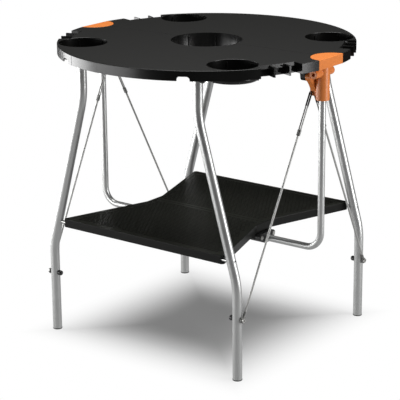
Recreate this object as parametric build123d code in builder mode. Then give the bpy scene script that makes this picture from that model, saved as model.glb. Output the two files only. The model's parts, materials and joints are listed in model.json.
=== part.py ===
"""Round folding utility table: a split top on two leg frames, hung from a central U frame.

Millimetres. X runs along the seam between the two halves, Y across it, Z up from the
floor, and the origin is on the floor under the middle of the top. Everything on the
front half (-Y) is modelled once and mirrored in the XZ plane for the back half (+Y).
"""
from build123d import *
import math
import os

os.makedirs("parts", exist_ok=True)

# ---- overall size
TABLE_HEIGHT = 716.0
TOP_RADIUS = 355.0

# ---- moulded top
DECK = 3.5                      # thickness of the top plate
WALL = 3.2                      # thickness of rim, collar and pocket walls
RIM_DEPTH = 23.0
SEAM_GAP = 0.5
WELL_X, WELL_Y = 219.7, 194.5   # centre of each cup well
WELL_RADIUS = 60.4
WELL_WALL = 3.0
WELL_DEPTH = 34.0
GRIP, GRIP_DROP = 2.2, 6.0      # small upright grip ribs in the wells and the collar
HOLE_RADIUS = 85.7
COLLAR_DEPTH = 42.0
BAY_INNER_RADIUS = 332.0        # back wall of the tool bays
BAY_START, BAY_END = 16.3, 33.3  # angle from the seam, degrees
BAY_FINS = (21.6, 28.0)
FIN = 4.0
LEAD_IN = 7.0                   # sloped lip at the back of each bay
NOTCH_WIDTH, NOTCH_HEIGHT = 27.0, 10.0
RIB = 2.5
RIB_DEPTH = 14.0
RIB_ROWS = (-60.0, -128.0, -228.0)
RIB_PITCH, RIB_COLUMNS = 120.0, 5
EDGE = 1.2                      # softening of moulded edges
WELL_CORNER = 9.0
GRIP_OUT = 0.4                  # a grip rib is centred this far outside the face it stands on
EAR_RADIUS = 9.0

# ---- hinge points of one half: centre pivot, leg pivot, and the same pair for the shelf
PIVOT_Y = 24.0
PIVOT_Z = TABLE_HEIGHT - 48.0
LEG_Y = 257.0
LEG_PIVOT_Z = TABLE_HEIGHT - 26.0
SHELF_TOP, SHELF_THICK = 292.0, 20.0
ROD_Z = SHELF_TOP - SHELF_THICK / 2
SHELF_PIVOT_Z = ROD_Z - (LEG_PIVOT_Z - PIVOT_Z)
PIN_RADIUS = 3.0
RUNNING = 0.05                  # radial clearance of a turning pin

# ---- tubes
LEG_RADIUS, LEG_WALL = 11.1, 1.5
LEG_TOP_X, LEG_FOOT_X = 170.0, 276.0
LEG_UPPER_BEND, LEG_LOWER_BEND = 600.0, 225.0
LEG_BEND_RADIUS = 190.0
U_RADIUS, U_WALL = 7.95, 1.4
U_X, U_Z, U_BEND = 330.0, 255.0, 40.0
FOOT_CAP = 3.0
ROD_RADIUS = 4.0

# ---- leg brackets, their screws, and the leg pins
BRACKET_CHEEK, BRACKET_RADIUS, BRACKET_SLIDE = 4.0, 9.5, 0.6
BRACKET_BASE, BRACKET_BASE_IN = 3.0, 126.0
BRACKET_SCREWS, BRACKET_HOLE = (132.0, 148.0), 2.2
HEAD_RADIUS, HEAD_THICK, HEAD_SOCKET = 4.2, 2.5, 1.6
PIN_HEAD_RADIUS, PIN_HEAD = 5.2, 1.5
LEG_END = 4.0                   # how far a leg's tube runs past its pivot

# ---- hub
PAD_RADIUS, PAD_X, PAD_FACE = 48.5, 353.5, 352.0
PAD_GAP = 0.8
SOCKET_RADIUS, SOCKET_BOTTOM = 16.0, 614.0
BARREL_RADIUS, BARREL_HALF, BARREL_Z = 10.0, 39.0, 678.0
CHEEK_IN, CHEEK_OUT = 304.0, 318.0
EAR_IN, EAR_OUT = 290.5, 303.2
LUG_IN, LUG_HALF, LUG_LOW, LUG_HIGH = 299.0, 4.5, 621.0, 640.0
SCREW_RADIUS = 2.1
SCREW_MOUTH, SCREW_MOUTH_DEPTH, SCREW_DEPTH = 3.6, 14.0, 62.0
CHEEK_EAR = 9.5                 # round ends of the cheek, at the hinge pins
CHEEK_TOP_HALF, CHEEK_RISE = 18.0, 22.0
CHEEK_FOOT_HALF, CHEEK_FALL = 10.0, 34.0
NECK_HALF, NECK_RISE = 10.0, 28.0

# ---- shelf
WAIST_HALF, SHELF_HALF, SHELF_Y, WAIST_Y = 168.0, 242.0, 262.0, 30.0
BRACKET_IN, BRACKET_OUT = 136.0, 178.0
SHELF_EAR_IN, SHELF_EAR_OUT = 152.0, 165.0
ROD_PLAY = 0.5

# ---- stays
BOLT_Z = 148.0
BOLT_RADIUS = 2.5
STAY_X = LEG_FOOT_X + LEG_RADIUS + 4.0
STAY_TOP = (303.0, -6.6, 630.0)
WIRE_RADIUS = 2.4               # coated wire rope
LOOP_LENGTH = 105.0
LOOP_HALF = 2.6
STRAND_RADIUS = 1.6             # the same rope, bare where it doubles back
SLEEVE_RADIUS = 1.9
SLEEVE_LENGTH = 34.0


def save(part, name):
    """Name a finished piece and write it as its own STEP file."""
    part.label = name
    export_step(part, f"parts/{name}.step")


def mirrored(part):
    """The same piece on the back half."""
    with BuildPart() as other:
        mirror(part, about=Plane.XZ)
    return other.part


def opposite(part):
    """The same piece at the left end."""
    with BuildPart() as other:
        mirror(part, about=Plane.YZ)
    return other.part


def both_ends(part):
    """One node holding the piece at the right end and at the left end."""
    with BuildPart() as pair:
        add(part)
        mirror(part, about=Plane.YZ)
    return pair.part


def facing_x(x):
    """A plane across X whose sketch axes are Y and Z."""
    return Plane(origin=(x, 0, 0), x_dir=(0, 1, 0), z_dir=(1, 0, 0))


def radial_plane(degrees):
    """An upright plane through the Z axis; sketch x is the radius and sketch y is the height."""
    c, s = math.cos(math.radians(degrees)), math.sin(math.radians(degrees))
    return Plane(origin=(0, 0, 0), x_dir=(c, s, 0), z_dir=(s, -c, 0))


def polar(radius, degrees):
    return (radius * math.cos(math.radians(degrees)), radius * math.sin(math.radians(degrees)))


# ------------------------------------------------------------------ moulded top, front half
def top_outline():
    """Plan of the front half: half disc, tool bays cut in, hub pockets cut at both ends."""
    with BuildSketch() as plan:
        Circle(TOP_RADIUS)
        with Locations((0, TOP_RADIUS - SEAM_GAP / 2)):
            Rectangle(3 * TOP_RADIUS, 2 * TOP_RADIUS, mode=Mode.SUBTRACT)
        for end in (1, -1):
            with BuildSketch(mode=Mode.SUBTRACT):
                with BuildLine():
                    angles = [-BAY_START, -(BAY_START + BAY_END) / 2, -BAY_END]
                    inner = [polar(BAY_INNER_RADIUS, a) for a in angles]
                    outer = [polar(TOP_RADIUS + 20, a) for a in (angles[2], angles[0])]
                    points = [(end * x, y) for x, y in inner + outer]
                    ThreePointArc(*points[:3])
                    Polyline(points[2], points[3], points[4], points[0])
                make_face()
            with Locations((end * PAD_X, 0)):
                Circle(PAD_RADIUS + PAD_GAP, mode=Mode.SUBTRACT)
    return plan.sketch


def well_places():
    return Locations((WELL_X, -WELL_Y), (-WELL_X, -WELL_Y))


def make_top():
    outline = top_outline()
    with BuildPart() as top:
        with BuildSketch(Plane.XY.offset(TABLE_HEIGHT - DECK)):
            add(outline)
            with well_places():
                Circle(WELL_RADIUS - WELL_WALL, mode=Mode.SUBTRACT)
            Circle(HOLE_RADIUS, mode=Mode.SUBTRACT)
        extrude(amount=DECK)
        # rim, seam wall, bay walls and pocket walls in one closed ring
        with BuildSketch(Plane.XY.offset(TABLE_HEIGHT - RIM_DEPTH)):
            add(outline)
            offset(amount=-WALL, kind=Kind.INTERSECTION, mode=Mode.SUBTRACT)
            Circle(HOLE_RADIUS + WALL / 2, mode=Mode.SUBTRACT)
        extrude(amount=RIM_DEPTH - DECK / 2)
        # thick back wall of the bays, sloped at its lip
        with BuildSketch(Plane.XY.offset(TABLE_HEIGHT - RIM_DEPTH)):
            Circle(BAY_INNER_RADIUS)
            Circle(BAY_INNER_RADIUS - LEAD_IN - WALL, mode=Mode.SUBTRACT)
            with BuildSketch(mode=Mode.INTERSECT):
                for end in (1, -1):
                    with BuildLine():
                        first = polar(TOP_RADIUS, -BAY_START + 0.5)
                        last = polar(TOP_RADIUS, -BAY_END - 0.5)
                        Polyline((0, 0), (end * first[0], first[1]), (end * last[0], last[1]),
                                 (0, 0))
                    make_face()
        extrude(amount=RIM_DEPTH - DECK / 2)
        for start in (-BAY_END, BAY_START - 180):
            with BuildSketch(radial_plane(start)):
                with BuildLine():
                    Polyline((BAY_INNER_RADIUS - LEAD_IN, TABLE_HEIGHT + 1),
                             (BAY_INNER_RADIUS + 1, TABLE_HEIGHT + 1),
                             (BAY_INNER_RADIUS + 1, TABLE_HEIGHT - LEAD_IN - 1), close=True)
                make_face()
            revolve(axis=Axis.Z, revolution_arc=BAY_END - BAY_START, mode=Mode.SUBTRACT)
        # fins between the bays
        with BuildSketch(Plane.XY.offset(TABLE_HEIGHT - RIM_DEPTH)):
            for end in (1, -1):
                for angle in BAY_FINS:
                    middle = polar((BAY_INNER_RADIUS + TOP_RADIUS) / 2 - WALL / 2, -angle)
                    with Locations(Location((end * middle[0], middle[1], 0), (0, 0, -end * angle))):
                        Rectangle(TOP_RADIUS - BAY_INNER_RADIUS + WALL, FIN)
        extrude(amount=RIM_DEPTH)
        # cup wells: wall, floor and small grip ribs
        for end in (1, -1):
            with BuildSketch(Plane.XY.offset(TABLE_HEIGHT - WELL_DEPTH)):
                with Locations((end * WELL_X, -WELL_Y)):
                    Circle(WELL_RADIUS)
            extrude(amount=WELL_DEPTH - DECK / 2)
        bottoms = [e for e in top.edges().filter_by(GeomType.CIRCLE)
                   if abs(e.center().Z - (TABLE_HEIGHT - WELL_DEPTH)) < 0.01]
        fillet(bottoms, radius=WELL_CORNER)
        for end in (1, -1):
            with BuildSketch(Plane.XY.offset(TABLE_HEIGHT - WELL_DEPTH + WELL_WALL)):
                with Locations((end * WELL_X, -WELL_Y)):
                    Circle(WELL_RADIUS - WELL_WALL)
            extrude(amount=WELL_DEPTH, mode=Mode.SUBTRACT)
            with BuildSketch(Plane.XY.offset(TABLE_HEIGHT - WELL_DEPTH + WELL_WALL / 2)):
                with Locations((end * WELL_X, -WELL_Y)):
                    with PolarLocations(WELL_RADIUS - WELL_WALL + GRIP_OUT, 6, start_angle=20):
                        Circle(GRIP)
            extrude(amount=WELL_DEPTH - WELL_WALL / 2 - GRIP_DROP)
        # collar round the centre hole
        with BuildSketch(Plane.XY.offset(TABLE_HEIGHT - COLLAR_DEPTH)):
            Circle(HOLE_RADIUS + WALL)
            Circle(HOLE_RADIUS, mode=Mode.SUBTRACT)
            with Locations((0, TOP_RADIUS - SEAM_GAP / 2)):
                Rectangle(3 * TOP_RADIUS, 2 * TOP_RADIUS, mode=Mode.SUBTRACT)
        extrude(amount=COLLAR_DEPTH - DECK / 2)
        with BuildSketch(Plane.XY.offset(TABLE_HEIGHT - COLLAR_DEPTH)):
            for angle in (-22.5, -67.5, -112.5, -157.5):
                with Locations(polar(HOLE_RADIUS + GRIP_OUT, angle)):
                    Circle(GRIP)
        extrude(amount=COLLAR_DEPTH - GRIP_DROP)
        # stiffening ribs under the plate
        with BuildSketch(Plane.XY.offset(TABLE_HEIGHT - DECK / 2 - RIB_DEPTH)):
            for y in RIB_ROWS:
                with Locations((0, y)):
                    Rectangle(2 * TOP_RADIUS, RIB)
            with GridLocations(RIB_PITCH, 0, RIB_COLUMNS, 1):
                Rectangle(RIB, 2 * TOP_RADIUS)
            with BuildSketch(mode=Mode.INTERSECT):
                add(outline)
                offset(amount=-WALL / 2, kind=Kind.INTERSECTION, mode=Mode.REPLACE)
            with well_places():
                Circle(WELL_RADIUS - WELL_WALL / 2, mode=Mode.SUBTRACT)
            Circle(HOLE_RADIUS + WALL / 2, mode=Mode.SUBTRACT)
            for end in (1, -1):     # room for the leg brackets
                with Locations((end * 157, -257)):
                    Rectangle(70, 34, mode=Mode.SUBTRACT)
        extrude(amount=RIB_DEPTH)
        # hinge ears beside the hubs
        for start in (EAR_IN, -EAR_OUT):
            with BuildSketch(facing_x(start)):
                with Locations((-PIVOT_Y, PIVOT_Z)):
                    Circle(EAR_RADIUS)
                with BuildLine():
                    Polyline((-PIVOT_Y - EAR_RADIUS, PIVOT_Z), (-PIVOT_Y - 16, TABLE_HEIGHT - DECK / 2),
                             (-PIVOT_Y + 15, TABLE_HEIGHT - DECK / 2), (-PIVOT_Y + EAR_RADIUS, PIVOT_Z),
                             close=True)
                make_face()
                with Locations((-PIVOT_Y, PIVOT_Z)):
                    Circle(PIN_RADIUS + RUNNING, mode=Mode.SUBTRACT)
            extrude(amount=EAR_OUT - EAR_IN)
        # arched notches in the rim, where the folded legs lie
        with BuildSketch(Plane.XZ.offset(LEG_Y + 15)):
            with Locations((LEG_TOP_X, TABLE_HEIGHT - RIM_DEPTH),
                           (-LEG_TOP_X, TABLE_HEIGHT - RIM_DEPTH)):
                RectangleRounded(NOTCH_WIDTH, 2 * NOTCH_HEIGHT, radius=7)
        extrude(amount=TOP_RADIUS, mode=Mode.SUBTRACT)
        # softened edges: rim and wells
        rim = [e for e in top.edges().filter_by(GeomType.CIRCLE)
               if abs(e.radius - TOP_RADIUS) < 0.01 and abs(e.center().Z - TABLE_HEIGHT) < 0.01]
        fillet(rim, radius=EDGE)
        lips = [e for e in top.edges().filter_by(GeomType.CIRCLE)
                if abs(e.radius - (WELL_RADIUS - WELL_WALL)) < 0.01
                and abs(e.center().Z - TABLE_HEIGHT) < 0.01]
        fillet(lips, radius=EDGE)
    return top.part


# ------------------------------------------------------------------ leg brackets of one half
def make_leg_bracket():
    inner = LEG_TOP_X - LEG_RADIUS - BRACKET_SLIDE
    outer = LEG_TOP_X + LEG_RADIUS + BRACKET_SLIDE
    under = TABLE_HEIGHT - DECK
    with BuildPart() as bracket:
        for start in (inner - BRACKET_CHEEK, outer):
            with BuildSketch(facing_x(start)):
                with Locations((-LEG_Y, LEG_PIVOT_Z)):
                    Circle(BRACKET_RADIUS)
                with Locations((-LEG_Y, (LEG_PIVOT_Z + under) / 2)):
                    Rectangle(2 * BRACKET_RADIUS, under - LEG_PIVOT_Z)
                with Locations((-LEG_Y, LEG_PIVOT_Z)):
                    Circle(PIN_RADIUS, mode=Mode.SUBTRACT)
            extrude(amount=BRACKET_CHEEK)
        with BuildSketch(Plane.XY.offset(under - BRACKET_BASE)):
            base_out = outer + BRACKET_CHEEK
            with Locations(((BRACKET_BASE_IN + base_out) / 2, -LEG_Y)):
                Rectangle(base_out - BRACKET_BASE_IN, 2 * BRACKET_RADIUS)
            with Locations([(x, -LEG_Y) for x in BRACKET_SCREWS]):
                Circle(BRACKET_HOLE, mode=Mode.SUBTRACT)
        extrude(amount=BRACKET_BASE)
    return bracket.part


def make_bracket_screws():
    under = TABLE_HEIGHT - DECK
    with BuildPart() as screws:
        with BuildSketch(Plane.XY.offset(under - BRACKET_BASE)):
            with Locations([(x, -LEG_Y) for x in BRACKET_SCREWS]):
                Circle(SCREW_RADIUS)
        extrude(amount=BRACKET_BASE)
        with BuildSketch(Plane.XY.offset(under - BRACKET_BASE - HEAD_THICK)):
            with Locations([(x, -LEG_Y) for x in BRACKET_SCREWS]):
                Circle(HEAD_RADIUS)
                RegularPolygon(HEAD_SOCKET, 6, mode=Mode.SUBTRACT)
        extrude(amount=HEAD_THICK)
    return screws.part


def make_leg_pin():
    overlap = 0.4
    half = LEG_RADIUS + BRACKET_SLIDE + BRACKET_CHEEK + 0.6
    with BuildPart() as pin:
        with BuildSketch(facing_x(LEG_TOP_X - half)):
            with Locations((-LEG_Y, LEG_PIVOT_Z)):
                Circle(PIN_RADIUS)
        extrude(amount=2 * half)
        for start in (LEG_TOP_X - half - PIN_HEAD, LEG_TOP_X + half - overlap):
            with BuildSketch(facing_x(start)):
                with Locations((-LEG_Y, LEG_PIVOT_Z)):
                    Circle(PIN_HEAD_RADIUS)
            extrude(amount=PIN_HEAD + overlap)
    return pin.part


# ------------------------------------------------------------------ legs
def make_leg():
    foot, top = FOOT_CAP, LEG_PIVOT_Z + LEG_END
    with BuildPart() as leg:
        with BuildLine() as path:
            FilletPolyline((LEG_FOOT_X, -LEG_Y, foot), (LEG_FOOT_X, -LEG_Y, LEG_LOWER_BEND),
                           (LEG_TOP_X, -LEG_Y, LEG_UPPER_BEND), (LEG_TOP_X, -LEG_Y, top),
                           radius=LEG_BEND_RADIUS)
        with BuildSketch(Plane(origin=path.line @ 0, z_dir=path.line % 0)):
            Circle(LEG_RADIUS)
            Circle(LEG_RADIUS - LEG_WALL, mode=Mode.SUBTRACT)
        sweep()
        for z, radius, x in ((LEG_PIVOT_Z, PIN_RADIUS + RUNNING, LEG_TOP_X),
                             (BOLT_Z, BOLT_RADIUS, LEG_FOOT_X)):
            with BuildSketch(facing_x(x - 2 * LEG_RADIUS)):
                with Locations((-LEG_Y, z)):
                    Circle(radius)
            extrude(amount=4 * LEG_RADIUS, mode=Mode.SUBTRACT)
        with BuildSketch(facing_x(LEG_TOP_X)):
            with Locations((-LEG_Y, ROD_Z)):
                Circle(ROD_RADIUS)
        extrude(amount=LEG_FOOT_X - LEG_TOP_X - 5, mode=Mode.SUBTRACT)
    return leg.part


def make_leg_plug():
    inner = LEG_RADIUS - LEG_WALL
    with BuildPart() as plug:
        with BuildSketch(Plane.XY.offset(LEG_PIVOT_Z - 4 * LEG_END)):
            with Locations((LEG_TOP_X, -LEG_Y)):
                Circle(inner)
        extrude(amount=5 * LEG_END)
        with BuildSketch(Plane.XZ.offset(LEG_Y)):
            with Locations((LEG_TOP_X, LEG_PIVOT_Z)):
                Circle(LEG_RADIUS)
            with Locations((LEG_TOP_X, LEG_PIVOT_Z + LEG_END - LEG_RADIUS)):
                Rectangle(4 * LEG_RADIUS, 2 * LEG_RADIUS, mode=Mode.SUBTRACT)
            with Locations((LEG_TOP_X - LEG_RADIUS, LEG_PIVOT_Z)):
                Rectangle(2 * LEG_RADIUS, 4 * LEG_RADIUS, mode=Mode.SUBTRACT)
        revolve(axis=Axis((LEG_TOP_X, -LEG_Y, 0), (0, 0, 1)))
        with BuildSketch(facing_x(LEG_TOP_X - LEG_RADIUS)):
            with Locations((-LEG_Y, LEG_PIVOT_Z)):
                Circle(PIN_RADIUS + RUNNING)
        extrude(amount=2 * LEG_RADIUS, mode=Mode.SUBTRACT)
    return plug.part


def make_foot_plug():
    with BuildPart() as plug:
        with Locations((LEG_FOOT_X, -LEG_Y, 0)):
            Cylinder(LEG_RADIUS + 0.4, FOOT_CAP, align=(Align.CENTER, Align.CENTER, Align.MIN))
            Cylinder(LEG_RADIUS - LEG_WALL, 22, align=(Align.CENTER, Align.CENTER, Align.MIN))
        fillet(plug.edges().group_by(Axis.Z)[0], radius=1.0)
    return plug.part


def leg_x(z):
    """Centre of a leg on its sloping run."""
    slope = (LEG_FOOT_X - LEG_TOP_X) / (LEG_UPPER_BEND - LEG_LOWER_BEND)
    return LEG_TOP_X + (LEG_UPPER_BEND - z) * slope


def make_shelf_rod():
    with BuildPart() as rod:
        with BuildSketch(facing_x(-leg_x(ROD_Z))):
            with Locations((-LEG_Y, ROD_Z)):
                Circle(ROD_RADIUS)
        extrude(amount=2 * leg_x(ROD_Z))
    return rod.part


def make_stay_bolt():
    inner, outer = LEG_FOOT_X - LEG_RADIUS - 6, STAY_X + 1.3
    with BuildPart() as bolt:
        with BuildSketch(facing_x(inner)):
            with Locations((-LEG_Y, BOLT_Z)):
                Circle(BOLT_RADIUS)
        extrude(amount=outer - inner)
        with BuildSketch(facing_x(outer)):
            with Locations((-LEG_Y, BOLT_Z)):
                Circle(5.0)
                RegularPolygon(2.2, 6, mode=Mode.SUBTRACT)
        extrude(amount=3.2)
    return bolt.part


def make_cap_nut():
    face = LEG_FOOT_X - LEG_RADIUS - 0.2
    with BuildPart() as nut:
        with BuildSketch(facing_x(face - 10)):
            with Locations((-LEG_Y, BOLT_Z)):
                Circle(6.2)
        extrude(amount=10)
        fillet(nut.edges().group_by(Axis.X)[0], radius=4.5)
        with BuildSketch(facing_x(face - 6)):
            with Locations((-LEG_Y, BOLT_Z)):
                Circle(BOLT_RADIUS)
        extrude(amount=6, mode=Mode.SUBTRACT)
    return nut.part


# ------------------------------------------------------------------ shelf, front half
def make_shelf():
    corners = ((-WAIST_HALF, -SEAM_GAP / 2), (-WAIST_HALF, -WAIST_Y), (-SHELF_HALF, -SHELF_Y),
               (SHELF_HALF, -SHELF_Y), (WAIST_HALF, -WAIST_Y), (WAIST_HALF, -SEAM_GAP / 2))
    bottom = SHELF_TOP - SHELF_THICK
    with BuildSketch() as plan:
        with BuildLine():
            Polyline(*corners, close=True)
        make_face()
        fillet(plan.vertices().group_by(Axis.Y)[0], radius=7)
    with BuildPart() as shelf:
        with BuildSketch(Plane.XY.offset(SHELF_TOP - 4)):
            add(plan.sketch)
        extrude(amount=4)
        with BuildSketch(Plane.XY.offset(bottom)):
            add(plan.sketch)
            offset(amount=-3.0, kind=Kind.INTERSECTION, mode=Mode.SUBTRACT)
        extrude(amount=SHELF_THICK - 2)
        fillet(shelf.edges().group_by(Axis.Z)[-1], radius=EDGE)
        # sunk field inside a plain border
        with BuildSketch(Plane.XY.offset(SHELF_TOP - 0.8)):
            add(plan.sketch)
            offset(amount=-12, kind=Kind.INTERSECTION, mode=Mode.REPLACE)
        extrude(amount=2, mode=Mode.SUBTRACT)
        # closed beam that the rod runs through
        with BuildSketch(facing_x(-SHELF_HALF + 5)):
            with Locations((-SHELF_Y + 7.5, ROD_Z)):
                Rectangle(13, SHELF_THICK - 2)
        extrude(amount=2 * SHELF_HALF - 10)
        # ribs underneath
        with BuildSketch(Plane.XY.offset(bottom + 4)):
            with GridLocations(56, 0, 6, 1):
                Rectangle(RIB, 2 * SHELF_Y)
            for y in (-90, -170):
                with Locations((0, y)):
                    Rectangle(2 * SHELF_HALF, RIB)
            with BuildSketch(mode=Mode.INTERSECT):
                add(plan.sketch)
                offset(amount=-2, kind=Kind.INTERSECTION, mode=Mode.REPLACE)
        extrude(amount=SHELF_THICK - 6)
        # hinge ears at the seam
        for start in (SHELF_EAR_IN, -SHELF_EAR_OUT):
            with BuildSketch(facing_x(start)):
                with Locations((-PIVOT_Y, SHELF_PIVOT_Z)):
                    Circle(8)
                with Locations((-PIVOT_Y, (SHELF_PIVOT_Z + SHELF_TOP - 2) / 2)):
                    Rectangle(16, SHELF_TOP - 2 - SHELF_PIVOT_Z)
                with Locations((-PIVOT_Y, SHELF_PIVOT_Z)):
                    Circle(PIN_RADIUS + RUNNING, mode=Mode.SUBTRACT)
            extrude(amount=SHELF_EAR_OUT - SHELF_EAR_IN)
        with BuildSketch(facing_x(-SHELF_HALF - 5)):
            with Locations((-LEG_Y, ROD_Z)):
                Circle(ROD_RADIUS + ROD_PLAY)
        extrude(amount=2 * SHELF_HALF + 10, mode=Mode.SUBTRACT)
    return shelf.part


# ------------------------------------------------------------------ stays
def stay_point(along, aside=0.0):
    """A point on the stay's line, measured from its bolt, and shifted along X."""
    start = Vector(STAY_X, -LEG_Y, BOLT_Z)
    run = Vector(*STAY_TOP) - start
    return start + run.normalized() * along + Vector(aside, 0, 0)


STAY_LENGTH = (Vector(*STAY_TOP) - Vector(STAY_X, -LEG_Y, BOLT_Z)).length
STAY_DIR = (Vector(*STAY_TOP) - Vector(STAY_X, -LEG_Y, BOLT_Z)).normalized()
FERRULE_AT = STAY_LENGTH - LOOP_LENGTH
FERRULE_LENGTH = 14.0
EYE_RADIUS = 7.0
CRIMP_START, CRIMP_LENGTH, CRIMP_RADIUS = 6.0, 14.0, 3.1


def across_stay(along):
    """Plane square to the stay whose x axis lies close to the object's X."""
    return Plane(origin=stay_point(along), x_dir=Vector(1, 0, 0) - STAY_DIR * STAY_DIR.X,
                 z_dir=STAY_DIR)


def make_stay_wire():
    with BuildPart() as wire:
        with BuildSketch(across_stay(CRIMP_START + CRIMP_LENGTH)):
            Circle(WIRE_RADIUS)
        extrude(amount=FERRULE_AT - CRIMP_START - CRIMP_LENGTH)
    return wire.part


def make_stay_eyelet():
    with BuildPart() as eyelet:
        with BuildSketch(facing_x(STAY_X - 1)):
            with Locations((-LEG_Y, BOLT_Z)):
                Circle(EYE_RADIUS)
        extrude(amount=2)
        with BuildSketch(across_stay(CRIMP_START)):
            Circle(CRIMP_RADIUS)
        extrude(amount=CRIMP_LENGTH)
        with BuildSketch(facing_x(STAY_X - 4)):
            with Locations((-LEG_Y, BOLT_Z)):
                Circle(BOLT_RADIUS + RUNNING)
        extrude(amount=8, mode=Mode.SUBTRACT)
    return eyelet.part


def make_stay_ferrule():
    with BuildPart() as ferrule:
        with BuildSketch(across_stay(FERRULE_AT)):
            RectangleRounded(2 * (LOOP_HALF + STRAND_RADIUS + 0.6), 2 * WIRE_RADIUS + 0.8, radius=2.6)
        extrude(amount=FERRULE_LENGTH)
    return ferrule.part


def make_stay_loop():
    """Two strands from the ferrule, ending inside the sleeve that lines the loop."""
    with BuildPart() as loop:
        with BuildSketch(across_stay(FERRULE_AT + FERRULE_LENGTH)):
            with Locations((LOOP_HALF, 0), (-LOOP_HALF, 0)):
                Circle(STRAND_RADIUS)
        extrude(amount=LOOP_LENGTH - FERRULE_LENGTH - SLEEVE_LENGTH)
    return loop.part


def make_stay_sleeve():
    turn = stay_point(STAY_LENGTH - LOOP_HALF)
    aside = across_stay(0).x_dir * LOOP_HALF
    start = stay_point(STAY_LENGTH - SLEEVE_LENGTH)
    with BuildPart() as sleeve:
        with BuildLine() as path:
            Line(start + aside, turn + aside)
            ThreePointArc(turn + aside, turn + STAY_DIR * LOOP_HALF, turn - aside)
            Line(turn - aside, start - aside)
        with BuildSketch(Plane(origin=path.line @ 0, z_dir=path.line % 0)):
            Circle(SLEEVE_RADIUS)
        sweep()
    return sleeve.part


# ------------------------------------------------------------------ hub at the right end
def make_hub():
    with BuildPart() as hub:
        with BuildSketch(Plane.XY.offset(TABLE_HEIGHT - RIM_DEPTH)):
            with Locations((PAD_X, 0)):
                Circle(PAD_RADIUS)
            with Locations((PAD_FACE + PAD_RADIUS, 0)):
                Rectangle(2 * PAD_RADIUS, 4 * PAD_RADIUS, mode=Mode.SUBTRACT)
        extrude(amount=RIM_DEPTH)
        fillet(hub.edges().group_by(Axis.Z)[-1], radius=EDGE)
        # neck, round socket for the tube, and the barrel of the cross screw
        with BuildSketch(Plane.XY.offset(SOCKET_BOTTOM)):
            with Locations((U_X, 0)):
                Circle(SOCKET_RADIUS)
        extrude(amount=TABLE_HEIGHT - RIM_DEPTH - SOCKET_BOTTOM)
        with BuildSketch(Plane.XZ.offset(BARREL_HALF)):
            with Locations((U_X, BARREL_Z)):
                Circle(BARREL_RADIUS)
        extrude(amount=-2 * BARREL_HALF)
        with BuildSketch(Plane.XZ.offset(BARREL_HALF - 9)):
            with Locations((U_X, (BARREL_Z + TABLE_HEIGHT - RIM_DEPTH) / 2)):
                Rectangle(2 * BARREL_RADIUS - 4, TABLE_HEIGHT - RIM_DEPTH - BARREL_Z)
        extrude(amount=-2 * BARREL_HALF + 18)
        round_end = [e for e in hub.edges().filter_by(GeomType.CIRCLE)
                     if abs(e.center().Y - BARREL_HALF) < 0.01]
        fillet(round_end, radius=7)
        # cheek that carries the two hinge pins, tapering down to the socket
        with BuildSketch(facing_x(CHEEK_IN)):
            with Locations((PIVOT_Y, PIVOT_Z), (-PIVOT_Y, PIVOT_Z)):
                Circle(CHEEK_EAR)
            rise, fall, wide = PIVOT_Z + CHEEK_RISE, PIVOT_Z - CHEEK_FALL, PIVOT_Y + EAR_RADIUS
            with BuildLine():
                for hand in (-1, 1):
                    Line((hand * CHEEK_TOP_HALF, rise), (hand * wide, PIVOT_Z + 3))
                    Line((hand * wide, PIVOT_Z + 3), (hand * wide, PIVOT_Z - 3))
                    ThreePointArc((hand * wide, PIVOT_Z - 3), (hand * 19, PIVOT_Z - 18),
                                  (hand * CHEEK_FOOT_HALF, fall))
                Line((-CHEEK_TOP_HALF, rise), (CHEEK_TOP_HALF, rise))
                Line((-CHEEK_FOOT_HALF, fall), (CHEEK_FOOT_HALF, fall))
            make_face()
        extrude(amount=CHEEK_OUT - CHEEK_IN)
        with BuildSketch(Plane.XY.offset(SOCKET_BOTTOM + NECK_RISE)):
            with Locations(((CHEEK_OUT + U_X) / 2, 0)):
                Rectangle(U_X - CHEEK_OUT + 6, 2 * NECK_HALF)
        extrude(amount=TABLE_HEIGHT - RIM_DEPTH - SOCKET_BOTTOM - NECK_RISE)
        # lug that the stay loops hook on
        with BuildSketch(Plane.XY.offset(LUG_LOW)):
            with Locations(((LUG_IN + U_X) / 2, 0)):
                Rectangle(U_X - LUG_IN, 2 * LUG_HALF)
        extrude(amount=LUG_HIGH - LUG_LOW)
        tip = [e for e in hub.edges().filter_by(Axis.Y)
               if abs(e.center().X - LUG_IN) < 0.01]
        fillet(tip, radius=4)
        # bore for the tube, pin holes, screw hole with its open mouth
        with BuildSketch(Plane.XY.offset(SOCKET_BOTTOM)):
            with Locations((U_X, 0)):
                Circle(U_RADIUS + RUNNING)
        extrude(amount=TABLE_HEIGHT - 28 - SOCKET_BOTTOM, mode=Mode.SUBTRACT)
        with BuildSketch(facing_x(CHEEK_IN - 1)):
            with Locations((PIVOT_Y, PIVOT_Z), (-PIVOT_Y, PIVOT_Z)):
                Circle(PIN_RADIUS)
        extrude(amount=CHEEK_OUT - CHEEK_IN, mode=Mode.SUBTRACT)
        with BuildSketch(Plane.XZ.offset(BARREL_HALF)):
            with Locations((U_X, BARREL_Z)):
                Circle(SCREW_MOUTH)
        extrude(amount=-SCREW_MOUTH_DEPTH, mode=Mode.SUBTRACT)
        with BuildSketch(Plane.XZ.offset(BARREL_HALF)):
            with Locations((U_X, BARREL_Z)):
                Circle(SCREW_RADIUS)
        extrude(amount=-SCREW_DEPTH, mode=Mode.SUBTRACT)
        ring = [e for e in hub.edges().filter_by(GeomType.CIRCLE)
                if abs(e.center().Y + BARREL_HALF) < 0.01]
        fillet(ring, radius=1.4)
    return hub.part


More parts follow.
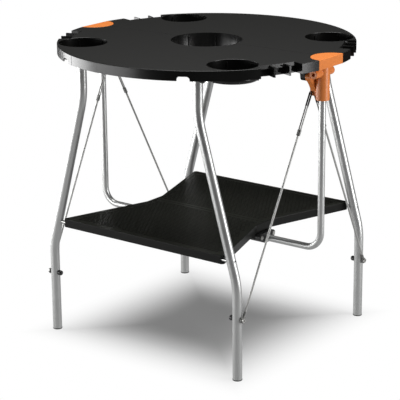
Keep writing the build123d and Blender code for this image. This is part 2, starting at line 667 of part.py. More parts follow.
def make_hub_screw():
    with BuildPart() as screw:
        with BuildSketch(Plane.XZ.offset(BARREL_HALF - SCREW_MOUTH_DEPTH)):
            with Locations((U_X, BARREL_Z)):
                Circle(SCREW_RADIUS)
        extrude(amount=SCREW_MOUTH_DEPTH + 2 - SCREW_DEPTH)
        with BuildSketch(Plane.XZ.offset(BARREL_HALF - 11)):
            with Locations((U_X, BARREL_Z)):
                Circle(3.4)
                RegularPolygon(1.5, 6, mode=Mode.SUBTRACT)
        extrude(amount=-3)
    return screw.part


def make_hinge_pins():
    """The two pins of the right hub, with heads behind the ears of the top."""
    with BuildPart() as pins:
        with BuildSketch(facing_x(EAR_IN - 0.6)):
            with Locations((PIVOT_Y, PIVOT_Z), (-PIVOT_Y, PIVOT_Z)):
                Circle(PIN_RADIUS)
        extrude(amount=CHEEK_OUT - EAR_IN - 0.4)
        with BuildSketch(facing_x(EAR_IN - 2.6)):
            with Locations((PIVOT_Y, PIVOT_Z), (-PIVOT_Y, PIVOT_Z)):
                Circle(5.5)
        extrude(amount=2.0)
    return pins.part


def make_u_tube():
    top = TABLE_HEIGHT - 29
    with BuildPart() as tube:
        with BuildLine() as path:
            FilletPolyline((-U_X, 0, top), (-U_X, 0, U_Z), (U_X, 0, U_Z), (U_X, 0, top),
                           radius=U_BEND)
        with BuildSketch(Plane(origin=path.line @ 0, z_dir=path.line % 0)):
            Circle(U_RADIUS)
            Circle(U_RADIUS - U_WALL, mode=Mode.SUBTRACT)
        sweep()
        with BuildSketch(Plane.XZ.offset(2 * U_RADIUS)):
            with Locations((U_X, BARREL_Z), (-U_X, BARREL_Z)):
                Circle(SCREW_RADIUS)
        extrude(amount=-4 * U_RADIUS, mode=Mode.SUBTRACT)
    return tube.part


# ------------------------------------------------------------------ shelf bracket, right end
def make_shelf_bracket():
    cheek_in = SHELF_EAR_OUT + 0.8
    with BuildPart() as bracket:
        with BuildSketch(facing_x(BRACKET_IN)):
            with Locations((0, U_Z + 1)):
                RectangleRounded(24, 25, radius=4)
        extrude(amount=BRACKET_OUT - BRACKET_IN)
        with BuildSketch(facing_x(cheek_in)):
            with Locations((PIVOT_Y, SHELF_PIVOT_Z), (-PIVOT_Y, SHELF_PIVOT_Z)):
                Circle(8.5)
            with Locations((0, SHELF_PIVOT_Z)):
                Rectangle(2 * PIVOT_Y, 17)
        extrude(amount=BRACKET_OUT - cheek_in)
        with BuildSketch(facing_x(BRACKET_IN - 1)):
            with Locations((0, U_Z)):
                Circle(U_RADIUS + RUNNING)
        extrude(amount=BRACKET_OUT - BRACKET_IN + 2, mode=Mode.SUBTRACT)
        with BuildSketch(facing_x(cheek_in - 1)):
            with Locations((PIVOT_Y, SHELF_PIVOT_Z), (-PIVOT_Y, SHELF_PIVOT_Z)):
                Circle(PIN_RADIUS)
        extrude(amount=BRACKET_OUT - cheek_in + 2, mode=Mode.SUBTRACT)
    return bracket.part


def make_shelf_pins():
    with BuildPart() as pins:
        with BuildSketch(facing_x(SHELF_EAR_IN - 0.5)):
            with Locations((PIVOT_Y, SHELF_PIVOT_Z), (-PIVOT_Y, SHELF_PIVOT_Z)):
                Circle(PIN_RADIUS)
        extrude(amount=BRACKET_OUT - SHELF_EAR_IN + 0.5)
        with BuildSketch(facing_x(BRACKET_OUT)):
            with Locations((PIVOT_Y, SHELF_PIVOT_Z), (-PIVOT_Y, SHELF_PIVOT_Z)):
                Circle(5)
        extrude(amount=2.2)
    return pins.part


# ------------------------------------------------------------------ write every piece
hub = make_hub()
save(hub, "hub_right")
save(opposite(hub), "hub_left")
save(make_u_tube(), "u_tube")
save(both_ends(make_hub_screw()), "hub_screws")
save(both_ends(make_hinge_pins()), "hub_hinge_pins")
bracket = make_shelf_bracket()
save(bracket, "shelf_bracket_right")
save(opposite(bracket), "shelf_bracket_left")
save(both_ends(make_shelf_pins()), "shelf_hinge_pins")

single_pieces = {
    "top": make_top(),
    "shelf": make_shelf(),
    "shelf_rod": make_shelf_rod(),
    "bracket_screws": both_ends(make_bracket_screws()),
    "leg_pins": both_ends(make_leg_pin()),
    "leg_plugs": both_ends(make_leg_plug()),
    "stay_bolts": both_ends(make_stay_bolt()),
    "cap_nuts": both_ends(make_cap_nut()),
}
for name, piece in single_pieces.items():
    save(piece, f"{name}_front")
    save(mirrored(piece), f"{name}_back")

paired_pieces = {
    "leg": make_leg(),
    "leg_bracket": make_leg_bracket(),
    "foot_plug": make_foot_plug(),
    "stay_wire": make_stay_wire(),
    "stay_eyelet": make_stay_eyelet(),
    "stay_ferrule": make_stay_ferrule(),
    "stay_loop": make_stay_loop(),
    "stay_sleeve": make_stay_sleeve(),
}
for name, piece in paired_pieces.items():
    save(piece, f"{name}_front_right")
    save(opposite(piece), f"{name}_front_left")
    save(mirrored(piece), f"{name}_back_right")
    save(mirrored(opposite(piece)), f"{name}_back_left")
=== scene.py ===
"""Looks of a round folding utility table: materials for every CAD piece, the wire rope of the
stays, the stud pattern of the shelves, the fine lines of the rim, and a pale studio.

Metres, in the frame of the CAD model: X along the seam, Y across it, Z up from the floor.
"""
import json
import math
import bpy
from mathutils import Matrix, Vector


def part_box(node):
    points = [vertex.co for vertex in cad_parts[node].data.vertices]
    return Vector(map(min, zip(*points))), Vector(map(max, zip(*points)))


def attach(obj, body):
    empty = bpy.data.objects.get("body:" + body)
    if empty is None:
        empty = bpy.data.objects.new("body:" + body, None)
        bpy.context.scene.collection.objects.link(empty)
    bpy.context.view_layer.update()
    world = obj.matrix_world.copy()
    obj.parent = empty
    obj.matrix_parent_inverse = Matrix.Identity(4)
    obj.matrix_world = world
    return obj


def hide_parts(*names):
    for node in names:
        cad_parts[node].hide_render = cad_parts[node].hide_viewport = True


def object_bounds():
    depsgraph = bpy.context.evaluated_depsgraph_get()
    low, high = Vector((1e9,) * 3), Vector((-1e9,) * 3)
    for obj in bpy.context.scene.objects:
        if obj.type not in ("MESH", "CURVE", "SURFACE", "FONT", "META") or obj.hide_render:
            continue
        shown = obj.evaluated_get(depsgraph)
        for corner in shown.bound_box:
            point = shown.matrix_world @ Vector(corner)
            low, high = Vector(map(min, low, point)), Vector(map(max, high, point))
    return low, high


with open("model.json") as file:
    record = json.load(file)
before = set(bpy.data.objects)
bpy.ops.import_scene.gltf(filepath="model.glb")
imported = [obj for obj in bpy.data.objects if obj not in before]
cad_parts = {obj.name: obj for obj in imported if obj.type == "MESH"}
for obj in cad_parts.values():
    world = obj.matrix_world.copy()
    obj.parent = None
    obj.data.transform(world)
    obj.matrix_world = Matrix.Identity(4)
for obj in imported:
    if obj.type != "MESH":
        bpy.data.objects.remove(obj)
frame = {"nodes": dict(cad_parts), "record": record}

cad_low, cad_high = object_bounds()
nodes = frame["nodes"]

SIDES = ("front", "back")
ENDS = ("left", "right")
MM = 0.001

# ---- shelf: its plan, and the studs on its sunk field
WAIST_HALF, SHELF_HALF, SHELF_Y, WAIST_Y = 0.168, 0.242, 0.262, 0.030
FIELD_MARGIN = 0.0155
FIELD_SINK = 0.8 * MM
STUD_PITCH_X, STUD_PITCH_Y = 10.5 * MM, 8.8 * MM
STUD_HALF_X, STUD_HALF_Y = 3.7 * MM, 2.8 * MM
STUD_HEIGHT, STUD_SLOPE = 0.7 * MM, 0.7 * MM

# ---- rope of the stays
ROPE_STRANDS = 6
ROPE_LAY = 6.5          # length of one turn, in rope diameters
ROPE_GROOVE = 0.09      # depth of the groove between strands, as a share of the radius
ROPE_AROUND = 48

# ---- fine upright lines beside the leg notches of the rim
LINE_X = (0.1385, 0.1900)
LINE_HALF, LINE_PROUD = 0.35 * MM, 0.35 * MM


# ------------------------------------------------------------------ node helpers
def put(tree, kind, **values):
    """Adds a node; names of sockets set their default, names of properties set the property."""
    made = tree.nodes.new(kind)
    for name, value in values.items():
        if hasattr(made, name):
            setattr(made, name, value)
        else:
            made.inputs[name.replace("_", " ")].default_value = value
    return made


def new_group(name, inputs, outputs):
    """An empty shader node group with named sockets; returns it with its two end nodes."""
    tree = bpy.data.node_groups.new(name, "ShaderNodeTree")
    for label, kind, default in inputs:
        socket = tree.interface.new_socket(label, in_out="INPUT", socket_type=kind)
        socket.default_value = default
    for label, kind in outputs:
        tree.interface.new_socket(label, in_out="OUTPUT", socket_type=kind)
    return tree, tree.nodes.new("NodeGroupInput"), tree.nodes.new("NodeGroupOutput")


def place_group(tree, group, **values):
    made = tree.nodes.new("ShaderNodeGroup")
    made.node_tree = group
    for name, value in values.items():
        made.inputs[name.replace("_", " ")].default_value = value
    return made


# ------------------------------------------------------------------ shared effects
def mould_grain_group():
    """Fine leathery grain of a moulded surface, with slow waves of sink and flow under it."""
    tree, given, out = new_group(
        "mould_grain",
        [("Grain Scale", "NodeSocketFloat", 900.0), ("Grain", "NodeSocketFloat", 0.6),
         ("Waves", "NodeSocketFloat", 0.4)],
        [("Height", "NodeSocketFloat")])
    where = put(tree, "ShaderNodeTexCoord")
    grain = put(tree, "ShaderNodeTexVoronoi", feature="SMOOTH_F1", Smoothness=0.6)
    speck = put(tree, "ShaderNodeTexNoise", Detail=3.0, Roughness=0.6)
    waves = put(tree, "ShaderNodeTexNoise", Scale=14.0, Detail=2.0)
    both = put(tree, "ShaderNodeMath", operation="ADD")
    grained = put(tree, "ShaderNodeMath", operation="MULTIPLY")
    waved = put(tree, "ShaderNodeMath", operation="MULTIPLY")
    total = put(tree, "ShaderNodeMath", operation="ADD")
    link = tree.links.new
    for texture in (grain, speck, waves):
        link(where.outputs["Object"], texture.inputs["Vector"])
    link(given.outputs["Grain Scale"], grain.inputs["Scale"])
    link(given.outputs["Grain Scale"], speck.inputs["Scale"])
    link(grain.outputs["Distance"], both.inputs[0])
    link(speck.outputs["Fac"], both.inputs[1])
    link(both.outputs[0], grained.inputs[0])
    link(given.outputs["Grain"], grained.inputs[1])
    link(waves.outputs["Fac"], waved.inputs[0])
    link(given.outputs["Waves"], waved.inputs[1])
    link(grained.outputs[0], total.inputs[0])
    link(waved.outputs[0], total.inputs[1])
    link(total.outputs[0], out.inputs["Height"])
    return tree


def uneven_gloss_group():
    """Roughness and colour that drift over the surface: handling marks, dust and fine scuffs."""
    tree, given, out = new_group(
        "uneven_gloss",
        [("Colour", "NodeSocketColor", (0.5, 0.5, 0.5, 1)),
         ("Dusty Colour", "NodeSocketColor", (0.5, 0.5, 0.5, 1)),
         ("Dust", "NodeSocketFloat", 0.3), ("Patch Scale", "NodeSocketFloat", 9.0),
         ("Roughness Low", "NodeSocketFloat", 0.3), ("Roughness High", "NodeSocketFloat", 0.5),
         ("Scuffs", "NodeSocketFloat", 0.2)],
        [("Colour", "NodeSocketColor"), ("Roughness", "NodeSocketFloat"),
         ("Scuffs", "NodeSocketFloat")])
    where = put(tree, "ShaderNodeTexCoord")
    patches = put(tree, "ShaderNodeTexNoise", Detail=5.0, Roughness=0.62)
    scratch_way = put(tree, "ShaderNodeMapping")
    scratch_way.inputs["Rotation"].default_value = (0.0, 0.0, 0.5)
    scratch_way.inputs["Scale"].default_value = (38.0, 420.0, 420.0)
    scratches = put(tree, "ShaderNodeTexNoise", Scale=1.0, Detail=2.0, Roughness=0.5)
    thin = put(tree, "ShaderNodeMapRange")
    thin.inputs["From Min"].default_value = 0.66
    thin.inputs["From Max"].default_value = 0.74
    marks = put(tree, "ShaderNodeMath", operation="MULTIPLY")
    rough = put(tree, "ShaderNodeMapRange")
    rough.inputs["From Min"].default_value = 0.3
    rough.inputs["From Max"].default_value = 0.7
    rougher = put(tree, "ShaderNodeMath", operation="MULTIPLY_ADD")
    rougher.inputs[1].default_value = 0.12
    dust = put(tree, "ShaderNodeMath", operation="MULTIPLY")
    tint = put(tree, "ShaderNodeMix", data_type="RGBA")
    link = tree.links.new
    link(where.outputs["Object"], patches.inputs["Vector"])
    link(given.outputs["Patch Scale"], patches.inputs["Scale"])
    link(where.outputs["Object"], scratch_way.inputs["Vector"])
    link(scratch_way.outputs["Vector"], scratches.inputs["Vector"])
    link(scratches.outputs["Fac"], thin.inputs["Value"])
    link(thin.outputs["Result"], marks.inputs[0])
    link(given.outputs["Scuffs"], marks.inputs[1])
    link(patches.outputs["Fac"], rough.inputs["Value"])
    link(given.outputs["Roughness Low"], rough.inputs["To Min"])
    link(given.outputs["Roughness High"], rough.inputs["To Max"])
    link(marks.outputs[0], rougher.inputs[0])
    link(rough.outputs["Result"], rougher.inputs[2])
    link(patches.outputs["Fac"], dust.inputs[0])
    link(given.outputs["Dust"], dust.inputs[1])
    link(dust.outputs[0], tint.inputs["Factor"])
    link(given.outputs["Colour"], tint.inputs[6])
    link(given.outputs["Dusty Colour"], tint.inputs[7])
    link(tint.outputs[2], out.inputs["Colour"])
    link(rougher.outputs[0], out.inputs["Roughness"])
    link(marks.outputs[0], out.inputs["Scuffs"])
    return tree


def painted_wall_shade_group():
    """Colour of a moulding with painted light and shade: textured flat faces on its upper side
    painted lighter, plainer walls painted darker, as light from above would leave them.
    """
    tree, given, out = new_group(
        "painted_wall_shade",
        [("Flat Colour", "NodeSocketColor", (0.02, 0.02, 0.02, 1)),
         ("Wall Colour", "NodeSocketColor", (0.01, 0.01, 0.01, 1)),
         ("Gloss Roughness", "NodeSocketFloat", 0.3), ("Flat Duller By", "NodeSocketFloat", 0.1)],
        [("Colour", "NodeSocketColor"), ("Roughness", "NodeSocketFloat")])
    where = put(tree, "ShaderNodeTexCoord")
    parts = put(tree, "ShaderNodeSeparateXYZ")
    upward = put(tree, "ShaderNodeMapRange")
    upward.inputs["From Min"].default_value = 0.75
    upward.inputs["From Max"].default_value = 0.95
    # painted shade: walls take the darker colour, faces turned up take the lighter one
    blend = put(tree, "ShaderNodeMix", data_type="RGBA")
    duller = put(tree, "ShaderNodeMath", operation="MULTIPLY_ADD")
    link = tree.links.new
    link(upward.outputs["Result"], duller.inputs[0])
    link(given.outputs["Flat Duller By"], duller.inputs[1])
    link(given.outputs["Gloss Roughness"], duller.inputs[2])
    link(duller.outputs[0], out.inputs["Roughness"])
    link(where.outputs["Normal"], parts.inputs[0])
    link(parts.outputs["Z"], upward.inputs["Value"])
    link(upward.outputs["Result"], blend.inputs["Factor"])
    link(given.outputs["Wall Colour"], blend.inputs[6])
    link(given.outputs["Flat Colour"], blend.inputs[7])
    link(blend.outputs[2], out.inputs["Colour"])
    return tree


def coat_texture_group():
    """Powder coat or plating: a faint orange peel with a sparkle of fine flakes."""
    tree, given, out = new_group(
        "coat_texture",
        [("Peel Scale", "NodeSocketFloat", 700.0), ("Flake Scale", "NodeSocketFloat", 3500.0),
         ("Flake", "NodeSocketFloat", 0.3)],
        [("Height", "NodeSocketFloat")])
    where = put(tree, "ShaderNodeTexCoord")
    peel = put(tree, "ShaderNodeTexNoise", Detail=1.0)
    flakes = put(tree, "ShaderNodeTexVoronoi")
    flaked = put(tree, "ShaderNodeMath", operation="MULTIPLY")
    total = put(tree, "ShaderNodeMath", operation="ADD")
    link = tree.links.new
    link(where.outputs["Object"], peel.inputs["Vector"])
    link(where.outputs["Object"], flakes.inputs["Vector"])
    link(given.outputs["Peel Scale"], peel.inputs["Scale"])
    link(given.outputs["Flake Scale"], flakes.inputs["Scale"])
    link(flakes.outputs["Distance"], flaked.inputs[0])
    link(given.outputs["Flake"], flaked.inputs[1])
    link(peel.outputs["Fac"], total.inputs[0])
    link(flaked.outputs[0], total.inputs[1])
    link(total.outputs[0], out.inputs["Height"])
    return tree


mould_grain = mould_grain_group()
uneven_gloss = uneven_gloss_group()
painted_wall_shade = painted_wall_shade_group()
coat_texture = coat_texture_group()


# ------------------------------------------------------------------ materials
def finish_material(name, colour, dusty, gloss, relief, relief_group, bump, **shader_values):
    """A material with uneven gloss and a relief group; plain values go on the shader itself."""
    made = bpy.data.materials.new(name)
    made.use_nodes = True
    tree = made.node_tree
    shader = tree.nodes["Principled BSDF"]
    surface = place_group(tree, uneven_gloss, Colour=(*colour, 1), Dusty_Colour=(*dusty, 1), **gloss)
    grain = place_group(tree, relief_group, **relief)
    raised = put(tree, "ShaderNodeBump", Strength=bump[0], Distance=bump[1])
    link = tree.links.new
    link(surface.outputs["Colour"], shader.inputs["Base Color"])
    link(surface.outputs["Roughness"], shader.inputs["Roughness"])
    link(grain.outputs["Height"], raised.inputs["Height"])
    link(raised.outputs["Normal"], shader.inputs["Normal"])
    for socket, value in shader_values.items():
        shader.inputs[socket.replace("_", " ")].default_value = value
    return made


def moulded(name, colour, dusty, low, high, grain=0.6, scale=900.0, bump=(0.25, 0.00012), dust=0.25,
            scuffs=0.25, **shader_values):
    return finish_material(
        name, colour, dusty,
        dict(Dust=dust, Patch_Scale=9.0, Roughness_Low=low, Roughness_High=high, Scuffs=scuffs),
        dict(Grain_Scale=scale, Grain=grain, Waves=0.5), mould_grain, bump, **shader_values)


def paint_wall_shade(made, flat, wall, duller):
    """Gives a moulded material painted light and shade: darker walls and lighter flat faces; the flat
    faces are also duller.
    """
    tree = made.node_tree
    surface = next(n for n in tree.nodes if getattr(n, "node_tree", None) == uneven_gloss)
    faces = place_group(tree, painted_wall_shade, Flat_Colour=(*flat, 1), Wall_Colour=(*wall, 1),
                        Flat_Duller_By=duller)
    tree.links.new(faces.outputs["Colour"], surface.inputs["Colour"])
    tree.links.new(surface.outputs["Roughness"], faces.inputs["Gloss Roughness"])
    tree.links.new(faces.outputs["Roughness"], tree.nodes["Principled BSDF"].inputs["Roughness"])
    return made


def metal(name, colour, dusty, low, high, flake=0.3, bump=(0.12, 0.00006), **shader_values):
    return finish_material(
        name, colour, dusty,
        dict(Dust=0.35, Patch_Scale=22.0, Roughness_Low=low, Roughness_High=high, Scuffs=0.3),
        dict(Flake=flake), coat_texture, bump, **shader_values)


materials = {
    # top and shelf: the second pair of colours is a painted lit colour for flat faces and a painted
    # shaded colour for walls
    "top_plastic": paint_wall_shade(
        moulded("charcoal top", (0.0060, 0.0060, 0.0055), (0.010, 0.010, 0.0092), 0.29, 0.38,
                dust=0.12, Specular_IOR_Level=0.36),
        (0.0070, 0.0070, 0.0064), (0.0018, 0.0018, 0.0016), 0.16),
    "shelf_plastic": paint_wall_shade(
        moulded("charcoal shelf", (0.020, 0.020, 0.018), (0.022, 0.022, 0.020), 0.42, 0.54,
                grain=0.9, dust=0.12, Specular_IOR_Level=0.16),
        (0.0250, 0.0262, 0.0215), (0.0040, 0.0042, 0.0036), 0.06),
    "orange_plastic": moulded("orange hub", (0.57, 0.162, 0.030), (0.61, 0.21, 0.06),
                              0.34, 0.46, grain=0.5, bump=(0.18, 0.0001)),
    "bracket_plastic": moulded("black bracket", (0.010, 0.010, 0.010), (0.02, 0.02, 0.02), 0.36, 0.5),
    "plug_plastic": moulded("black plug", (0.012, 0.012, 0.012), (0.022, 0.022, 0.022), 0.4, 0.52),
    "foot_rubber": moulded("grey foot", (0.075, 0.075, 0.075), (0.12, 0.12, 0.115), 0.55, 0.7,
                           scale=1300.0, dust=0.5),
    "cap_plastic": moulded("black nut cap", (0.010, 0.010, 0.010), (0.02, 0.02, 0.02), 0.25, 0.36),
    "sleeve_plastic": moulded("black sleeve", (0.012, 0.012, 0.012), (0.025, 0.025, 0.025),
                              0.3, 0.42, scale=1600.0),
    "leg_steel": metal("silver coat", (0.50, 0.505, 0.50), (0.57, 0.575, 0.57), 0.33, 0.43,
                       Metallic=0.8),
    "rod_steel": metal("plated rod", (0.46, 0.46, 0.45), (0.55, 0.55, 0.54), 0.24, 0.4, Metallic=1.0),
    "zinc_steel": metal("zinc plating", (0.55, 0.55, 0.54), (0.62, 0.60, 0.55), 0.28, 0.42,
                        flake=0.8, Metallic=1.0),
    "wire_steel": metal("coated wire rope", (0.36, 0.36, 0.35), (0.42, 0.42, 0.41), 0.40, 0.50,
                        Metallic=0.45, Coat_Weight=0.4, Coat_Roughness=0.2),
    "crimp_metal": metal("pressed crimp", (0.20, 0.20, 0.195), (0.30, 0.30, 0.29), 0.36, 0.5,
                         flake=0.8, Metallic=0.9),
}


def dress_cad_nodes():
    """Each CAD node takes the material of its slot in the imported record."""
    for part in frame["record"]["subparts"]:
        node = nodes[part["node"]]
        node.data.materials.clear()
        node.data.materials.append(materials[part["material_slot"]])


# ------------------------------------------------------------------ mesh helpers
def add_piece(name, corners, faces, slot, body, smooth=True):
    mesh = bpy.data.meshes.new(name)
    mesh.from_pydata([tuple(c) for c in corners], [], faces)
    mesh.update()
    mesh.shade_smooth() if smooth else mesh.shade_flat()
    piece = bpy.data.objects.new(name, mesh)
    bpy.context.scene.collection.objects.link(piece)
    mesh.materials.append(materials[slot])
    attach(piece, body)
    return piece


def middle(points):
    """Middle of the box round some points."""
    return Vector([(min(p[i] for p in points) + max(p[i] for p in points)) / 2 for i in range(3)])


def rod_ends(points):
    """The two end centres of a straight round rod, from the points of its mesh."""
    half = (min(p.z for p in points) + max(p.z for p in points)) / 2
    return middle([p for p in points if p.z < half]), middle([p for p in points if p.z >= half])


def rope(corners, faces, start, end, radius, hand=1):
    """Adds a laid rope: strands side by side in a round section that turns along its length."""
    along = (end - start).normalized()
    across = along.cross(Vector((0, 1, 0))).normalized()
    beside = along.cross(across)
    length = (end - start).length
    lay = ROPE_LAY * 2 * radius
    rings = max(8, round(length / (lay / 22)))
    first = len(corners)
    for i in range(rings + 1):
        here = length * i / rings
        turn = hand * 2 * math.pi * here / lay
        for k in range(ROPE_AROUND):
            angle = 2 * math.pi * k / ROPE_AROUND
            lobe = abs(math.cos(ROPE_STRANDS * (angle - turn) / 2))
            r = radius * (1 - ROPE_GROOVE * (1 - math.sqrt(lobe)))
            corners.append(start + along * here + (across * math.cos(angle)
                                                   + beside * math.sin(angle)) * r)
    for i in range(rings):
        for k in range(ROPE_AROUND):
            a, b = first + i * ROPE_AROUND + k, first + i * ROPE_AROUND + (k + 1) % ROPE_AROUND
            faces.append((a, b, b + ROPE_AROUND, a + ROPE_AROUND))
    faces.append(tuple(first + k for k in reversed(range(ROPE_AROUND))))
    last = first + rings * ROPE_AROUND
    faces.append(tuple(last + k for k in range(ROPE_AROUND)))


# ------------------------------------------------------------------ stays
def make_stay_ropes(side, end):
    """The long rope of a stay, and the doubled rope between its ferrule and its sleeve."""
    body, place = f"stay_{side}_{end}", f"{side}_{end}"
    hand = 1 if (side == "front") == (end == "right") else -1
    points = [v.co for v in nodes[f"stay_wire_{place}"].data.vertices]
    low, high = rod_ends(points)
    radius = (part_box(f"stay_wire_{place}")[1].x - max(low.x, high.x))
    corners, faces = [], []
    rope(corners, faces, low, high, radius, hand)
    piece = add_piece(f"stay_rope_{place}", corners, faces, "wire_steel", body)
    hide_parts(f"stay_wire_{place}")

    points = [v.co for v in nodes[f"stay_loop_{place}"].data.vertices]
    half = (min(p.z for p in points) + max(p.z for p in points)) / 2
    corners, faces = [], []
    levels = [[p for p in points if p.z < half], [p for p in points if p.z >= half]]
    centres = [middle(level) for level in levels]
    for sign in (1, -1):
        ends = [middle([p for p in level if sign * (p.x - centre.x) > 0])
                for level, centre in zip(levels, centres)]
        width = max(p.x for p in levels[0]) - min(p.x for p in levels[0])
        spread = abs(ends[0].x - centres[0].x) * 2
        rope(corners, faces, ends[0], ends[1], (width - spread) / 2, hand)
    piece = add_piece(f"stay_doubled_rope_{place}", corners, faces, "wire_steel", body)
    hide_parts(f"stay_loop_{place}")


# ------------------------------------------------------------------ shelf studs
def field_half_width(y):
    """Half width of the shelf at a distance from the seam."""
    share = max(0.0, (y - WAIST_Y) / (SHELF_Y - WAIST_Y))
    return WAIST_HALF + (SHELF_HALF - WAIST_HALF) * share


def stud(corners, faces, x, y, z):
    first = len(corners)
    for grow, height in ((0.0, 0.0), (STUD_SLOPE, STUD_HEIGHT)):
        for sx, sy in ((-1, -1), (1, -1), (1, 1), (-1, 1)):
            corners.append(Vector((x + sx * (STUD_HALF_X - grow), y + sy * (STUD_HALF_Y - grow),
                                   z + height)))
    for k in range(4):
        after = (k + 1) % 4
        faces.append((first + k, first + after, first + 4 + after, first + 4 + k))
    faces.append(tuple(first + 4 + k for k in range(4)))
    faces.append(tuple(first + k for k in reversed(range(4))))


def make_shelf_studs(side):
    """Rows of low studs, each row set half a pitch along, on the sunk field of a shelf."""
    sign = -1 if side == "front" else 1
    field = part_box(f"shelf_{side}")[1].z - FIELD_SINK
    corners, faces = [], []
    rows = int((SHELF_Y - 2 * FIELD_MARGIN) / STUD_PITCH_Y)
    for row in range(rows):
        y = FIELD_MARGIN + STUD_HALF_Y + row * STUD_PITCH_Y
        room = field_half_width(y) - FIELD_MARGIN - STUD_HALF_X
        shift = STUD_PITCH_X / 2 if row % 2 else 0.0
        count = int((room + shift) / STUD_PITCH_X) + 1
        for i in range(-count, count + 1):
            x = i * STUD_PITCH_X + shift
            if abs(x) < room:
                stud(corners, faces, x, sign * y, field)
    add_piece(f"shelf_studs_{side}", corners, faces, "shelf_plastic", f"{side}_shelf", smooth=False)


# ------------------------------------------------------------------ rim lines
def make_rim_lines(side):
    """Fine raised upright lines on the rim, two beside each leg notch."""
    sign = -1 if side == "front" else 1
    low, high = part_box(f"top_{side}")
    radius = max(-cad_low.x, cad_high.x, -cad_low.y, cad_high.y)
    bottom, top = high.z - 22.5 * MM, high.z - 1.6 * MM
    corners, faces = [], []
    for end in (-1, 1):
        for x in LINE_X:
            angle = math.atan2(sign * math.sqrt(radius ** 2 - x ** 2), end * x)
            out = Vector((math.cos(angle), math.sin(angle), 0))
            side_way = Vector((-out.y, out.x, 0))
            first = len(corners)
            for z in (bottom, top):
                for reach, width in ((-0.3 * MM, LINE_HALF), (LINE_PROUD, LINE_HALF * 0.5)):
                    for hand in (-1, 1):
                        corners.append(out * (radius + reach) + side_way * hand * width
                                       + Vector((0, 0, z)))
            for quad in ((0, 1, 5, 4), (1, 3, 7, 5), (3, 2, 6, 7), (2, 0, 4, 6), (0, 2, 3, 1),
                         (4, 5, 7, 6)):
                faces.append(tuple(first + k for k in quad))
    add_piece(f"rim_lines_{side}", corners, faces, "top_plastic", f"{side}_top", smooth=False)


# ------------------------------------------------------------------ studio
CAMERA_AT, CAMERA_AIM = Vector((2.287, -3.007, 1.459)), Vector((0.0, 0.0, 0.3195))
CAMERA_ROLL = math.radians(-0.45)
CAMERA_LENS, CAMERA_SHIFT = 145.08, (-0.0198, -0.0022)


def make_camera():
    data = bpy.data.cameras.new("camera")
    data.lens, data.sensor_width = CAMERA_LENS, 36.0
    data.shift_x, data.shift_y = CAMERA_SHIFT
    camera = bpy.data.objects.new("camera", data)
    bpy.context.scene.collection.objects.link(camera)
    aim = (CAMERA_AIM - CAMERA_AT).to_track_quat("-Z", "Y").to_matrix().to_4x4()
    camera.matrix_world = Matrix.Translation(CAMERA_AT) @ aim @ Matrix.Rotation(CAMERA_ROLL, 4, "Z")
    bpy.context.scene.camera = camera


def soft_light(name, place, aim, size, power, tint=(1.0, 1.0, 1.0)):
    data = bpy.data.lights.new(name, "AREA")
    data.shape = "RECTANGLE"
    data.size, data.size_y = size
    data.energy = power
    data.color = tint
    light = bpy.data.objects.new(name, data)
    bpy.context.scene.collection.objects.link(light)
    light.location = place
    light.rotation_euler = (Vector(aim) - Vector(place)).to_track_quat("-Z", "Y").to_euler()
    light.visible_camera = False
    return light


def round_about(azimuth, distance, height):
    """A place round the table; azimuth in degrees from +X."""
    a = math.radians(azimuth)
    return (distance * math.cos(a), distance * math.sin(a), height)


FLOOR_HALF = 14.0
FLOOR_SHADE = 0.38
# painted reflection: the floor as gloss sees it is a glow of these strengths, near and far
MIRRORED_NEAR, MIRRORED_FAR = 0.50, 0.03
FILL, ROOM = 0.10, 0.012
WHITE_FROM, WHITE_TO = 0.09, 0.35      # metres out from the middle: the floor glows into white, a painted shadow edge that ends the cast shadow in a square
MIRRORED_FROM, MIRRORED_TO = 1.1, 2.3  # and the painted reflection that gloss shows of it fades into dark


def outward(tree, start, end, low, high):
    """A value that goes from low to high outwards from the middle, in squares like the feet's."""
    where = put(tree, "ShaderNodeTexCoord")
    size = put(tree, "ShaderNodeVectorMath", operation="ABSOLUTE")
    parts = put(tree, "ShaderNodeSeparateXYZ")
    farther = put(tree, "ShaderNodeMath", operation="MAXIMUM")
    ramp = put(tree, "ShaderNodeMapRange", interpolation_type="SMOOTHSTEP")
    for socket, value in (("From Min", start), ("From Max", end), ("To Min", low), ("To Max", high)):
        ramp.inputs[socket].default_value = value
    tree.links.new(where.outputs["Object"], size.inputs[0])
    tree.links.new(size.outputs[0], parts.inputs[0])
    tree.links.new(parts.outputs["X"], farther.inputs[0])
    tree.links.new(parts.outputs["Y"], farther.inputs[1])
    tree.links.new(farther.outputs[0], ramp.inputs["Value"])
    return ramp.outputs["Result"]


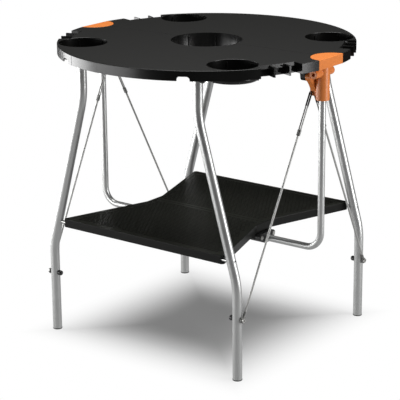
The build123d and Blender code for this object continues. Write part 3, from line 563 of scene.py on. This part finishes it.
def make_floor():
    """Pale floor that takes the shadow, glowing white further out, which paints the shadow's square
    edge, and a painted reflection where gloss mirrors it: a glow that dims further out.
    """
    mesh = bpy.data.meshes.new("floor")
    mesh.from_pydata([(-FLOOR_HALF, -FLOOR_HALF, 0), (FLOOR_HALF, -FLOOR_HALF, 0),
                      (FLOOR_HALF, FLOOR_HALF, 0), (-FLOOR_HALF, FLOOR_HALF, 0)], [], [(0, 1, 2, 3)])
    floor = bpy.data.objects.new("floor", mesh)
    bpy.context.scene.collection.objects.link(floor)
    made = bpy.data.materials.new("pale floor")
    made.use_nodes = True
    made.cycles.emission_sampling = "NONE"
    tree = made.node_tree
    near = tree.nodes["Principled BSDF"]
    near.inputs["Base Color"].default_value = (FLOOR_SHADE, FLOOR_SHADE, FLOOR_SHADE, 1)
    near.inputs["Roughness"].default_value = 0.9
    near.inputs["Specular IOR Level"].default_value = 0.0
    # camera rays see the floor glow white outside the feet's square: partly an even white backdrop
    # far out, partly a painted shadow edge near the feet
    far = put(tree, "ShaderNodeEmission", Color=(1, 1, 1, 1), Strength=1.0)
    # painted reflection: gloss sees this glow in place of the lit floor
    mirrored = put(tree, "ShaderNodeEmission", Color=(1, 1, 1, 1))
    path = put(tree, "ShaderNodeLightPath")
    whiten = put(tree, "ShaderNodeMath", operation="MULTIPLY")
    seen = put(tree, "ShaderNodeMixShader")
    both = put(tree, "ShaderNodeMixShader")
    link = tree.links.new
    link(outward(tree, WHITE_FROM, WHITE_TO, 0.0, 1.0), whiten.inputs[0])
    link(path.outputs["Is Camera Ray"], whiten.inputs[1])
    link(outward(tree, MIRRORED_FROM, MIRRORED_TO, MIRRORED_NEAR, MIRRORED_FAR),
         mirrored.inputs["Strength"])
    link(whiten.outputs[0], seen.inputs[0])
    link(near.outputs[0], seen.inputs[1])
    link(far.outputs[0], seen.inputs[2])
    link(path.outputs["Is Glossy Ray"], both.inputs[0])
    link(seen.outputs[0], both.inputs[1])
    link(mirrored.outputs[0], both.inputs[2])
    link(both.outputs[0], tree.nodes["Material Output"].inputs["Surface"])
    mesh.materials.append(made)


def make_world():
    """White behind the table, a dim even fill on it, and a darker room in its gloss."""
    world = bpy.data.worlds.new("studio")
    bpy.context.scene.world = world
    world.use_nodes = True
    tree = world.node_tree
    tree.nodes.clear()
    behind = put(tree, "ShaderNodeBackground", Color=(1, 1, 1, 1), Strength=1.0)
    fill = put(tree, "ShaderNodeBackground", Color=(1, 1, 1, 1), Strength=FILL)
    room = put(tree, "ShaderNodeBackground", Color=(1, 1, 1, 1), Strength=ROOM)
    path = put(tree, "ShaderNodeLightPath")
    lit = put(tree, "ShaderNodeMixShader")
    mix = put(tree, "ShaderNodeMixShader")
    out = put(tree, "ShaderNodeOutputWorld")
    link = tree.links.new
    link(path.outputs["Is Glossy Ray"], lit.inputs[0])
    link(fill.outputs[0], lit.inputs[1])
    link(room.outputs[0], lit.inputs[2])
    link(path.outputs["Is Camera Ray"], mix.inputs[0])
    link(lit.outputs[0], mix.inputs[1])
    link(behind.outputs[0], mix.inputs[2])
    link(mix.outputs[0], out.inputs["Surface"])


def make_lights():
    soft_light("overhead", (-0.05, 0.0, 3.0), (0.0, 0.0, 0.0), (1.9, 1.9), 100)
    soft_light("left card", round_about(197, 2.0, 0.5), (0, 0, 0.45), (1.4, 1.0), 40)
    soft_light("left fill", round_about(238, 2.2, 0.5), (0, 0, 0.4), (1.3, 1.0), 20)
    soft_light("right strip", round_about(14, 2.2, 0.9), (0, 0, 0.4), (0.8, 1.8), 40)
    soft_light("lip light", (1.35, 1.0, 2.75), (0.0, 0.0, 0.7), (0.9, 0.9), 16)


# ------------------------------------------------------------------ build
make_camera()
dress_cad_nodes()
for side in SIDES:
    make_shelf_studs(side)
    make_rim_lines(side)
    for end in ENDS:
        make_stay_ropes(side, end)
make_floor()
make_world()
make_lights()
bpy.context.scene.view_settings.view_transform = "Standard"
